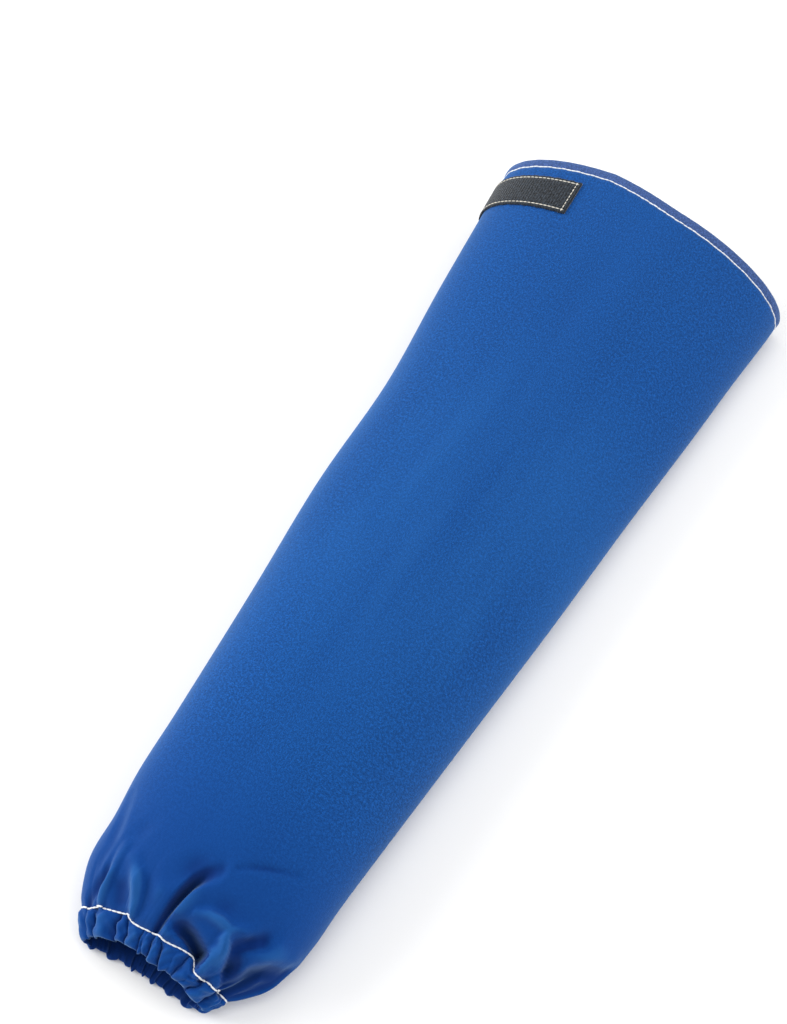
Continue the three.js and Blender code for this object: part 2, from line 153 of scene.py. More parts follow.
# Folds and dents of the cloth: half the width, then the rise at the start, middle and end, all in
# millimetres, then the path, each place a share along and a share round
FOLDS = [
    # valley by the left edge
    (2.6, -0.6, -1.5, -1.2,
     ((0.113, 0.446), (0.088, 0.434), (0.068, 0.425), (0.0535, 0.43), (0.0415, 0.434))),
    # band beside it
    (3.4, 0.4, 0.8, 0.5, ((0.0955, 0.428), (0.071, 0.416), (0.0525, 0.417), (0.037, 0.428))),
    # left valley
    (2.2, -1.2, -3.6, -2.6,
     ((0.07, 0.406), (0.056, 0.405), (0.0435, 0.413), (0.034, 0.429), (0.027, 0.441))),
    # left ridge
    (1.9, 1.6, 3.8, 3.0, ((0.0715, 0.4), (0.0595, 0.401), (0.047, 0.402), (0.0375, 0.405), (0.026, 0.408))),
    # panel between the ridges
    (3.6, -0.6, -2.2, -2.0, ((0.053, 0.383), (0.044, 0.377), (0.034, 0.372))),
    # middle ridge
    (2.7, 1.2, 5.2, 4.4,
     ((0.065, 0.375), (0.0565, 0.358), (0.0465, 0.342), (0.0375, 0.334), (0.0285, 0.332))),
    # panel right of it
    (4.4, -0.4, -1.3, -1.4, ((0.0635, 0.344), (0.0505, 0.323), (0.0395, 0.312))),
    # bulge left of the long dent
    (6.0, 0.4, 1.5, 1.0, ((0.067, 0.303), (0.0525, 0.3), (0.0385, 0.294))),
    # long dent
    (3.0, -1.4, -7.6, -4.6,
     ((0.0935, 0.198), (0.0835, 0.221), (0.0735, 0.238), (0.063, 0.245), (0.052, 0.248),
      (0.04, 0.246), (0.03, 0.242))),
    # hollow over the long dent
    (5.0, -0.6, -1.8, -0.8, ((0.0715, 0.295), (0.084, 0.261), (0.0945, 0.21))),
    # ridge right of the long dent
    (4.4, 0.4, 2.2, 2.0,
     ((0.083, 0.195), (0.073, 0.21), (0.0605, 0.22), (0.0495, 0.225), (0.0385, 0.223), (0.028, 0.214))),
    # pocket over the pleat
    (2.5, -3.0, -9.0, -10.5,
     ((0.0405, 0.222), (0.0415, 0.191), (0.0392, 0.166), (0.0352, 0.145), (0.03, 0.125))),
    # ridge right of the pocket
    (2.4, 2.6, 3.6, 1.6, ((0.0225, 0.103), (0.0355, 0.111), (0.045, 0.115), (0.055, 0.118))),
    # ridge over the pocket
    (1.9, 1.6, 4.0, 1.6,
     ((0.0565, 0.189), (0.0615, 0.166), (0.0625, 0.145), (0.061, 0.128), (0.0675, 0.107))),
    # hollow over that ridge
    (4.0, -0.6, -1.4, -0.6, ((0.065, 0.182), (0.0725, 0.153), (0.077, 0.121))),
    # sharp ridge to the stitches
    (1.6, 3.8, 5.6, 4.0,
     ((0.0535, 0.124), (0.049, 0.112), (0.0425, 0.101), (0.0355, 0.087), (0.0265, 0.062))),
    # pocket right of it
    (2.8, -4.2, -7.6, -5.2, ((0.051, 0.101), (0.0445, 0.091), (0.037, 0.078), (0.0305, 0.06))),
    # cross hollow
    (2.6, -2.8, -5.0, -2.6, ((0.0585, 0.109), (0.062, 0.096), (0.0695, 0.083))),
    # short hollow
    (3.2, -1.8, -1.6, -0.6, ((0.071, 0.078), (0.076, 0.08), (0.0825, 0.082))),
    # right ridge
    (4.6, 0.8, 2.4, 1.2, ((0.056, 0.089), (0.064, 0.074), (0.069, 0.055), (0.0715, 0.029))),
    # right under-fold
    (3.4, -2.4, -7.0, -5.0,
     ((0.0665, 0.018), (0.056, 0.044), (0.049, 0.052), (0.042, 0.046), (0.034, 0.038), (0.0255, 0.03))),
    # shade below the under-fold
    (5.0, -1.4, -4.4, -3.2, ((0.064, 0.002), (0.047, 0.02), (0.033, 0.014))),
    # streak in it
    (1.4, 0.4, 1.3, 0.8, ((0.047, 0.054), (0.04, 0.046), (0.0335, 0.042), (0.0265, 0.042))),
    # thin cross crease
    (1.3, -0.9, -1.7, -1.0,
     ((0.104, 0.172), (0.113, 0.149), (0.1195, 0.129), (0.125, 0.112), (0.1305, 0.094))),
    # soft left valley
    (3.0, -0.3, -0.9, -0.3, ((0.1005, 0.379), (0.0885, 0.389), (0.077, 0.391))),
    # the pleat that steps across the stitch line, and the gap beside it
    (1.5, -1.56, -3.12, -1.56, ((0.034, 0.122), (0.028, 0.118), (0.022, 0.109), (0.017, 0.101))),
    (1.3, -1.3, -2.86, -1.04, ((0.026, 0.086), (0.019, 0.086), (0.013, 0.082))),
    # broad soft hollows and press marks of the body
    (18.0, -0.2, -0.5, -0.2, ((0.24, 0.345), (0.15, 0.36))),
    (9.6, -0.3, -0.9, -0.3, ((0.53, 0.306), (0.38, 0.33))),
    (8.4, -0.2, -0.7, -0.2, ((0.94, 0.27), (0.62, 0.28))),
]


def smooth(value):
    share = np.clip(value, 0.0, 1.0)
    return share * share * (3.0 - 2.0 * share)


def column(table, index, where):
    """A column of a table between its rows, through them in a smooth curve."""
    place, value = table[:, 0], table[:, index]
    slope = np.empty_like(value)
    slope[0] = (value[1] - value[0]) / (place[1] - place[0])
    slope[-1] = (value[-1] - value[-2]) / (place[-1] - place[-2])
    slope[1:-1] = (value[2:] - value[:-2]) / (place[2:] - place[:-2])
    row = np.clip(np.searchsorted(place, where, side="right") - 1, 0, len(place) - 2)
    run = place[row + 1] - place[row]
    share = np.clip((where - place[row]) / run, 0.0, 1.0)
    square, cube = share**2, share**3
    return (
        (2 * cube - 3 * square + 1) * value[row]
        + (cube - 2 * square + share) * run * slope[row]
        + (3 * square - 2 * cube) * value[row + 1]
        + (cube - square) * run * slope[row + 1]
    )


def lift_at(along, around):
    """How high the cloth is held off the floor by the tape underneath."""
    start = TAPE_TOP - TAPE_WIDTH - LIFT_AHEAD
    share = around - np.floor(around)
    lengthwise = smooth((along - start + LIFT_RUN) / LIFT_RUN)
    end = 1.0 - smooth((share - TAB_FROM - 0.015) / 0.05)
    return TAPE_LIFT * lengthwise * smooth((share - 0.5) / 0.05) * end


def pillows_at(along, around):
    """The rounded pillows of cloth between the casing's creases: the height of each place from 0
    deep in a crease to 1, the width of its pillow as a share round, and its hang over the lip."""
    down = np.clip(1 - along / CASING_DEPTH, 0, 1)
    turn = 2 * np.pi * around
    sway = 0.0035 * np.sin(9 * turn + 0.42 * along) + 0.0022 * np.sin(23 * turn - 0.8 * along + 1)
    around = around + sway * smooth((CASING_DEPTH + 6 - along) / 6)
    behind = np.ones(np.broadcast(along, around).shape)
    ahead, deep_behind, deep_ahead = behind.copy(), behind.copy(), behind.copy()
    hang = np.zeros_like(behind)
    for at_line, at_lip, depth, over in CREASES:
        back = np.mod(around - (at_line + (at_lip - at_line) * down), 1.0)
        nearer = back < behind
        behind, deep_behind = np.where(nearer, back, behind), np.where(nearer, depth, deep_behind)
        hang = np.where(nearer, over, hang)
        nearer = 1.0 - back < ahead
        ahead, deep_ahead = np.where(nearer, 1.0 - back, ahead), np.where(nearer, depth, deep_ahead)
    width = behind + ahead
    place = behind / width
    pillow = np.clip(np.sin(np.pi * place**1.3), 0, 1) ** 0.6
    depth = deep_behind + (deep_ahead - deep_behind) * smooth(place)
    return 1 - depth * (1 - pillow), width, hang * pillow


def gathers_at(along, around, height):
    """The gathers round the wrist, which run out a little way up the sleeve."""
    above = along - CASING_DEPTH
    where = np.where(above < 0, above / CASING_DEPTH, above / GATHER_REACH)
    share = np.mod(around, 1.0)
    under = smooth((np.abs(np.mod(share + 0.25, 1.0) - 0.5) - 0.2) / 0.08)
    pillow, width, hang = pillows_at(along, around)
    full = np.clip(width / 0.042, 0.4, 1.3)
    run = column(GATHER_RUN, 1, np.clip(where, -1, 1)) * np.where(above > 0, 0.35 + 0.65 * under, 1.0)
    ruffle = np.sin(2 * np.pi * (61 * around + 0.5 * np.sin(14 * np.pi * around)))
    ruffles = 0.42 * ruffle * under * smooth(-above / 6)
    turn = 2 * np.pi * around
    puckers = 0.32 * np.sin(31 * turn + 0.5 * along) * np.sin(0.55 * along + 4 * turn) * smooth(-above / 3)
    return np.where(where >= 1, 0.0, height * (run * full * (2.1 * pillow - 1.15) + ruffles + puckers))


def folds_at(along, around):
    """All the folds and dents at one place, each a soft ridge or valley about its own path."""
    total = np.zeros(np.broadcast(along, around).shape)
    girth = 5 * BODY_HEIGHT
    for half_width, first, middle, last, path in FOLDS:
        corners = [(there * LENGTH, round_ * girth) for there, round_ in path]
        turn = np.round(path[0][1] - around)
        across = (around + turn) * girth
        nearest = np.full(total.shape, 1e9)
        place = np.zeros(total.shape)
        lengths = [math.dist(start, end) for start, end in zip(corners, corners[1:])]
        done = 0.0
        for start, end, length in zip(corners, corners[1:], lengths):
            line = (end[0] - start[0], end[1] - start[1])
            share = ((along - start[0]) * line[0] + (across - start[1]) * line[1]) / length**2
            share = np.clip(share, 0, 1)
            away = np.hypot(along - start[0] - share * line[0], across - start[1] - share * line[1])
            place = np.where(away < nearest, (done + share * length) / sum(lengths), place)
            nearest = np.minimum(nearest, away)
            done += length
        ratio = np.minimum(nearest / (2 * half_width), 1)
        early = first + (middle - first) * smooth(2 * place)
        late = middle + (last - middle) * smooth(2 * place - 1)
        rise = np.where(place < 0.5, early, late)
        total += rise * (1 - ratio**2) ** 2
    return total


def groove(distance, half_width, depth):
    """A shallow groove, as a row of stitches presses into the cloth."""
    ratio = np.minimum(np.abs(distance) / half_width, 1)
    return -depth * (1 - ratio**2) ** 2


def corner_at(along, around):
    """The soft corner that the hem makes over the crown, from 0 to 1."""
    away = np.hypot(np.mod(around + 0.5, 1.0) - 0.5 - HEM_CORNER_AT, 0.004) / 0.14
    return np.clip(1 - away, 0, 1) ** 1.25 * smooth((along - LENGTH + 70) / 60)


def relief_at(along, around, gather_height):
    """All that stands out of the plain tube or sinks into it, in millimetres."""
    turn = 2 * np.pi * around
    relief = gathers_at(along, around, gather_height) + folds_at(along, around)
    relief = relief + groove(along - CASING_DEPTH, 3.2, STITCH_GROOVE)
    relief = relief + groove(along - HEM_LINE, 2.2, HEM_GROOVE)
    near_hem = np.clip(1 - np.abs(along - HEM_LINE) / 14, 0, 1) ** 2
    relief = relief + near_hem * 0.16 * np.sin(47 * turn + 2 * np.sin(5 * turn))
    crown = np.clip(np.sin(turn), 0, 1) ** 2
    waves = np.sin(along / 34 + 5 * turn) * np.sin(along / 61 - 3 * turn + 1)
    drift = np.sin(along / 83 + 2 * turn + 0.4)
    return relief + crown * smooth((along - 60) / 80) * (0.22 * waves + 0.35 * drift)


def lay(along, around, inset=0.0, carried=1.0, gather_height=GATHER_HEIGHT, plain=False):
    """Points of the laid sleeve in metres. along is measured in millimetres from the wrist lip,
    around is a share of the way round from the right side over the crown, and inset is how far
    inside the cloth's outer face the point lies. carried is the share of the gathers it follows,
    and the plain tube has neither gathers nor folds."""
    along, around, inset = np.broadcast_arrays(
        np.asarray(along, float), np.asarray(around, float), np.asarray(inset, float)
    )
    share = np.clip(along / LENGTH, 0, 1)
    half = UPPER_WIDTH * column(SECTIONS, 1, share) / 2
    crown, left, right = (BODY_HEIGHT * column(SECTIONS, index, share) for index in (2, 3, 4))
    shift = UPPER_WIDTH * column(SECTIONS, 5, share)
    angle = 2 * np.pi * around + 0.25 * np.sin(4 * np.pi * around)
    across, rise = np.cos(angle), np.sin(angle)
    middle = (left + right) / 2
    side = middle + (right - left) / 2 * across
    floor = lift_at(along, around) + inset
    top = crown - middle - inset
    under = np.maximum(side - floor, 0) * np.maximum(1 + UNDER_SLOPE * rise, 0)
    bulge = 0.0 if plain else relief_at(along, around, gather_height * carried)
    out_x, out_z = across * crown / 2, rise * half
    size = np.hypot(out_x, out_z)
    height = np.where(rise >= 0, np.maximum(side, floor) + top * rise, floor + under)
    forward = CORNER_REACH * smooth(1 - along / CORNER_RUN) * across**2
    drawn = LIP_SET_BACK * np.maximum(rise, 0) + LIP_TUCK * np.maximum(across, 0) ** 3
    back = drawn * smooth(1 - along / (1.5 * CASING_DEPTH)) + UPPER_BOW * share * rise**2
    back = back + np.interp(np.mod(around, 1.0), *WANDER.T) * smooth(1 - np.abs(along - CASING_DEPTH) / 14)
    back = back - LIP_SCALLOP * (pillows_at(along, around)[2] - 0.4) * smooth(1 - along / 7)
    back = back + HEM_CORNER * corner_at(along, around)
    flare = SIDE_FLARE * np.maximum(across, 0) ** 2 * smooth((share - 0.86) / 0.12)
    seam = SEAM_HEIGHT * np.exp(-(((around - np.floor(around) - SEAM_AT) * 230) ** 2) / 8)
    points = np.stack(
        [
            shift + (half - inset) * across + bulge * out_x / size + flare,
            along + back - forward,
            np.maximum(height + bulge * out_z / size, np.maximum(inset, 0)) + seam,
        ],
        axis=-1,
    )
    return (points - MIDDLE) / 1000.0


def girth_at(along):
    """The way round the plain tube, in millimetres."""
    around = np.linspace(0, 1, 361)
    points = lay(along, around, plain=True)
    return float(np.linalg.norm(np.diff(points, axis=0), axis=1).sum() * 1000)


GIRTH = np.array([(share, girth_at(share * LENGTH)) for share in SECTIONS[:, 0]])


# Meshes

def added(name, data):
    """A new object in the scene."""
    piece = bpy.data.objects.new(name, data)
    bpy.context.scene.collection.objects.link(piece)
    return piece


def finished(name, points, faces, uvs, folds=None):
    """A mesh object from numpy arrays, its faces outward, with a UV map in metres."""
    first, second, third, fourth = (points[faces[:, index]] for index in range(4))
    volume = (first * np.cross(second, third)).sum() + (first * np.cross(third, fourth)).sum()
    if volume < 0:
        faces, uvs = faces[:, ::-1], uvs[:, ::-1]
    mesh = bpy.data.meshes.new(name)
    mesh.vertices.add(len(points))
    mesh.vertices.foreach_set("co", points.astype(np.float32).ravel())
    mesh.loops.add(faces.size)
    mesh.loops.foreach_set("vertex_index", faces.astype(np.int32).ravel())
    mesh.polygons.add(len(faces))
    mesh.polygons.foreach_set("loop_start", np.arange(0, faces.size, 4, dtype=np.int32))
    mesh.polygons.foreach_set("use_smooth", np.ones(len(faces), bool))
    layer = mesh.uv_layers.new(name="cloth")
    layer.data.foreach_set("uv", uvs.astype(np.float32).ravel())
    # the fold attribute carries the relief, which the cloth's colour turns into painted highlight on ridges
    # and painted shade in dents
    if folds is not None:
        attribute = mesh.attributes.new("fold", "FLOAT", "POINT")
        attribute.data.foreach_set("value", folds.astype(np.float32).ravel())
    mesh.update()
    mesh.validate()
    return added(name, mesh)


def ring(name, rows, steps, gather_height, start=0.0, inside=1.5):
    """A closed ring of cloth. rows are (along, inset, carried), out along one face and back along
    the other, steps is the number of points round it, and inside is the inset where its hidden
    face begins, which is painted in shade."""
    around = start + np.arange(steps) / steps
    along, inset, carried = np.array(rows, float).T[:, :, None]
    points = lay(along, around[None, :], inset, carried, gather_height)
    # the relief, lowered by 5 mm on the hidden inner face so that the inside is painted in shade
    folds = relief_at(along, around[None, :], gather_height) - 5.0 * smooth((inset - inside) / 0.5)
    total = len(rows)
    here, after = np.meshgrid(np.arange(total), np.arange(steps), indexing="ij")
    up, across = (here + 1) % total, (after + 1) % steps
    faces = np.stack(
        [here * steps + after, here * steps + across, up * steps + across, up * steps + after], -1
    )
    girth = column(GIRTH, 1, np.clip(along / LENGTH, 0, 1))
    spread = np.concatenate([around, [start + 1.0]])[None, :]
    u = (spread - start - 0.5) * girth / 1000
    v = np.broadcast_to(along / 1000, u.shape)
    uv = np.stack([u, v], -1)
    corners = np.stack([uv[here, after], uv[here, after + 1], uv[up, after + 1], uv[up, after]], -2)
    return finished(name, points.reshape(-1, 3), faces.reshape(-1, 4), corners.reshape(-1, 4, 2), folds)


def band(name, along, around, height, thickness):
    """A closed band of tape. along and around are arrays of places, height is how far its inner
    face is off the cloth at each station, and its edges are rounded."""
    count, lines = len(around), len(along)
    fall = np.minimum(np.arange(lines), np.arange(lines)[::-1])
    rounding = 0.45 * np.clip(1 - fall / 1.5, 0, 1) ** 2
    low_row, high_row = along[0] + TAPE_MARGIN, along[-1] - TAPE_MARGIN
    row = groove(along - low_row, 1.1, 0.3) + groove(along - high_row, 1.1, 0.3)
    wobble = 0.28 * np.sin(np.arange(count) * 0.9 + 1) * np.sin(np.arange(count) * 0.23)
    lengthwise = along[None, :] + wobble[:, None]
    places = np.broadcast_to(around[:, None], lengthwise.shape)
    low = height[:, None] + rounding[None, :]
    high = height[:, None] + thickness - rounding[None, :] + row[None, :]
    outer = lay(lengthwise, places, -high)
    inner = lay(lengthwise, places, -low)[:, ::-1]
    points = np.concatenate([outer, inner], axis=1)
    size = points.shape[1]
    here, after = np.meshgrid(np.arange(count - 1), np.arange(size), indexing="ij")
    across = (after + 1) % size
    first, second = here * size, (here + 1) * size
    faces = np.stack([first + after, first + across, second + across, second + after], -1)
    way = np.concatenate([[0], np.cumsum(np.linalg.norm(np.diff(outer[:, lines // 2], axis=0), axis=1))])
    width = (np.concatenate([along, along[::-1]]) - along[0]) / 1000
    uv = np.stack(np.broadcast_arrays(way[:, None], width[None, :]), -1)
    corners = np.stack([uv[here, after], uv[here, across], uv[here + 1, across], uv[here + 1, after]], -2)
    index = np.arange(lines - 1)
    far = size - 1 - index
    caps, cap_uvs = [], []
    for station, flip in ((0, True), (count - 1, False)):
        base = station * size
        quad = np.stack([base + index, base + index + 1, base + far - 1, base + far], -1)
        uv_quad = uv[station, quad - base]
        caps.append(quad if flip else quad[:, ::-1])
        cap_uvs.append(uv_quad if flip else uv_quad[:, ::-1])
    every = np.concatenate([faces.reshape(-1, 4)[:, ::-1], *caps])
    every_uv = np.concatenate([corners.reshape(-1, 4, 2)[:, ::-1], *cap_uvs])
    return finished(name, points.reshape(-1, 3), every, every_uv)


def tape_places(along, start, length, direction, step=0.0016):
    """Shares of the way round for a length of tape, in millimetres, either way from a start."""
    fine = start + direction * np.arange(0, 0.6, step)
    points = lay(along, fine, plain=True)
    gone = np.concatenate([[0], np.cumsum(np.linalg.norm(np.diff(points, axis=0), axis=1))]) * 1000
    last = int(np.searchsorted(gone, length))
    end = np.interp(length, gone, fine)
    return np.concatenate([fine[:last], [end]])


def polyline(name, points, closed=False):
    """A mesh of edges only, for stitches to follow."""
    count = len(points)
    edges = [(index, index + 1) for index in range(count - 1)] + ([(count - 1, 0)] if closed else [])
    mesh = bpy.data.meshes.new(name)
    mesh.from_pydata([tuple(point) for point in points], edges, [])
    return added(name, mesh)


# Stitches, made by Geometry Nodes along a line

def stitch_tree():
    """A node tree that lays a row of stitches along the edges of a mesh."""
    tree = bpy.data.node_groups.new("stitch_row", "GeometryNodeTree")
    face = tree.interface
    face.new_socket("Geometry", in_out="INPUT", socket_type="NodeSocketGeometry")
    inputs = {}
    for name, kind, default in (
        ("Stitch pitch", "NodeSocketFloat", 0.0034),
        ("Stitch length", "NodeSocketFloat", 0.0031),
        ("Thread thickness", "NodeSocketFloat", 0.0008),
        ("Unevenness", "NodeSocketFloat", 0.12),
        ("Seed", "NodeSocketInt", 3),
        ("Thread", "NodeSocketMaterial", None),
    ):
        socket = face.new_socket(name, in_out="INPUT", socket_type=kind)
        if default is not None:
            socket.default_value = default
        inputs[name] = socket.identifier
    face.new_socket("Geometry", in_out="OUTPUT", socket_type="NodeSocketGeometry")

    def node(kind, settings=None, **sockets):
        made = tree.nodes.new(kind)
        for key, value in (settings or {}).items():
            setattr(made, key, value)
        for key, value in sockets.items():
            socket = made.inputs[key.replace("_", " ")]
            if isinstance(value, bpy.types.NodeSocket):
                tree.links.new(value, socket)
            else:
                socket.default_value = value
        return made

    given = tree.nodes.new("NodeGroupInput").outputs
    curve = node("GeometryNodeMeshToCurve", Mesh=given["Geometry"])
    spaced = node(
        "GeometryNodeResampleCurve", {"mode": "LENGTH"},
        Curve=curve.outputs["Curve"], Length=given["Stitch pitch"],
    )
    tangent = node("GeometryNodeInputTangent")
    turned = node("FunctionNodeAlignRotationToVector", {"axis": "X"}, Vector=tangent.outputs["Tangent"])
    grain = node("GeometryNodeMeshUVSphere", Segments=8, Rings=6, Radius=0.5)
    size = node(
        "ShaderNodeCombineXYZ",
        X=given["Stitch length"], Y=given["Thread thickness"], Z=given["Thread thickness"],
    )
    drawn = node("GeometryNodeTransform", Geometry=grain.outputs["Mesh"], Scale=size.outputs["Vector"])
    uneven = node("FunctionNodeRandomValue", {"data_type": "FLOAT"}, Seed=given["Seed"])
    for operation, limit in (("SUBTRACT", 2), ("ADD", 3)):
        bound = node("ShaderNodeMath", {"operation": operation})
        bound.inputs[0].default_value = 1.0
        tree.links.new(given["Unevenness"], bound.inputs[1])
        tree.links.new(bound.outputs[0], uneven.inputs[limit])
    placed = node(
        "GeometryNodeInstanceOnPoints",
        Points=spaced.outputs["Curve"], Instance=drawn.outputs["Geometry"],
        Rotation=turned.outputs["Rotation"], Scale=uneven.outputs[1],
    )
    real = node("GeometryNodeRealizeInstances", Geometry=placed.outputs["Instances"])
    shaded = node("GeometryNodeSetShadeSmooth", Geometry=real.outputs["Geometry"])
    coloured = node(
        "GeometryNodeSetMaterial", Geometry=shaded.outputs["Geometry"], Material=given["Thread"],
    )
    tree.links.new(coloured.outputs["Geometry"], tree.nodes.new("NodeGroupOutput").inputs[0])
    return tree, inputs


def stitched(name, lines, thread, pitch, thickness, seed, full=1.3):
    """One piece of stitching from lines of points, each (points, closed)."""
    tree = bpy.data.node_groups.get("stitch_row")
    if tree is None:
        tree, identifiers = stitch_tree()
        tree["identifiers"] = json.dumps(identifiers)
    identifiers = json.loads(tree["identifiers"])
    made = []
    for number, (points, closed) in enumerate(lines):
        guide = polyline(f"{name}_guide{number}", points, closed)
        modifier = guide.modifiers.new("stitches", "NODES")
        modifier.node_group = tree
        for key, value in (
            ("Stitch pitch", pitch), ("Stitch length", pitch * full), ("Thread thickness", thickness),
            ("Unevenness", 0.1), ("Seed", seed + number), ("Thread", thread),
        ):
            modifier[identifiers[key]] = value
        bpy.context.view_layer.update()
        graph = bpy.context.evaluated_depsgraph_get()
        mesh = bpy.data.meshes.new_from_object(guide.evaluated_get(graph))
        mesh.name = name
        made.append(mesh)
        bpy.data.objects.remove(guide)
    piece = added(name, made[0])
    if len(made) > 1:
        others = [added(f"{name}_{number}", mesh) for number, mesh in enumerate(made[1:])]
        with bpy.context.temp_override(
            active_object=piece, object=piece, selected_objects=[piece, *others],
            selected_editable_objects=[piece, *others],
        ):
            bpy.ops.object.join()
    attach(piece, "root")
    return piece


# Materials

class Value:
    """A shader socket that can be written in plain sums."""

    def __init__(self, shader, socket):
        self.shader, self.socket = shader, socket

    def sum(self, operation, other, turned=False):
        node = self.shader.tree.nodes.new("ShaderNodeMath")
        node.operation = operation
        for index, item in enumerate((other, self) if turned else (self, other)):
            if isinstance(item, Value):
                self.shader.tree.links.new(item.socket, node.inputs[index])
            elif item is not None:
                node.inputs[index].default_value = item
        return Value(self.shader, node.outputs[0])

    def __add__(self, other):
        return self.sum("ADD", other)

    def __radd__(self, other):
        return self.sum("ADD", other, True)

    def __sub__(self, other):
        return self.sum("SUBTRACT", other)

    def __rsub__(self, other):
        return self.sum("SUBTRACT", other, True)

    def __mul__(self, other):
        return self.sum("MULTIPLY", other)

    def __rmul__(self, other):
        return self.sum("MULTIPLY", other, True)

    def sine(self):
        return self.sum("SINE", None)

    def size(self):
        return self.sum("ABSOLUTE", None)

    def between(self, low, high):
        node = self.shader.tree.nodes.new("ShaderNodeMapRange")
        node.interpolation_type = "SMOOTHSTEP"
        self.shader.tree.links.new(self.socket, node.inputs["Value"])
        node.inputs["From Min"].default_value = low
        node.inputs["From Max"].default_value = high
        return Value(self.shader, node.outputs["Result"])


class Shader:
    """A material that is built from its nodes."""

    def __init__(self, name):
        self.material = bpy.data.materials.new(name)
        self.material.use_nodes = True
        self.tree = self.material.node_tree
        self.tree.nodes.clear()
        self.surface = self.tree.nodes.new("ShaderNodeBsdfPrincipled")
        output = self.tree.nodes.new("ShaderNodeOutputMaterial")
        self.tree.links.new(self.surface.outputs["BSDF"], output.inputs["Surface"])

    def node(self, kind, settings=None, sockets=None, output=0):
        """Any node: its type, its settings, the values or links of its sockets, and the output."""
        node = self.tree.nodes.new(kind)
        for key, value in (settings or {}).items():
            setattr(node, key, value)
        for key, value in (sockets or {}).items():
            socket = node.inputs[key]
            if isinstance(value, Value):
                self.tree.links.new(value.socket, socket)
            else:
                socket.default_value = value
        return Value(self, node.outputs[output])

    def place(self):
        """The piece's own UV map in millimetres, as two values, and as one vector in metres."""
        uv = self.node("ShaderNodeUVMap", {"uv_map": "cloth"})
        split = self.tree.nodes.new("ShaderNodeSeparateXYZ")
        self.tree.links.new(uv.socket, split.inputs[0])
        return Value(self, split.outputs[0]) * 1000, Value(self, split.outputs[1]) * 1000, uv

    def stretched(self, vector, scale):
        return self.node("ShaderNodeVectorMath", {"operation": "MULTIPLY"}, {0: vector, 1: scale})

    def noise(self, vector, scale, detail=3.0, roughness=0.55):
        return self.node(
            "ShaderNodeTexNoise", None,
            {"Vector": vector, "Scale": scale, "Detail": detail, "Roughness": roughness},
        )

    def mix(self, share, first, second):
        node = self.tree.nodes.new("ShaderNodeMix")
        node.data_type = "RGBA"
        for index, value in ((0, share), (6, first), (7, second)):
            if isinstance(value, Value):
                self.tree.links.new(value.socket, node.inputs[index])
            else:
                node.inputs[index].default_value = value if index == 0 else (*value, 1.0)
        return Value(self, node.outputs[2])

    def bump(self, height, distance, strength, onto=None):
        sockets = {"Height": height, "Distance": distance, "Strength": strength}
        if onto is not None:
            sockets["Normal"] = onto
        return self.node("ShaderNodeBump", None, sockets)

    def give(self, **sockets):
        for key, value in sockets.items():
            socket = self.surface.inputs[key.replace("_", " ")]
            if isinstance(value, Value):
                self.tree.links.new(value.socket, socket)
            else:
                socket.default_value = value
        return self.material


def scaled(colour, by):
    return tuple(min(channel * by, 1.0) for channel in colour)


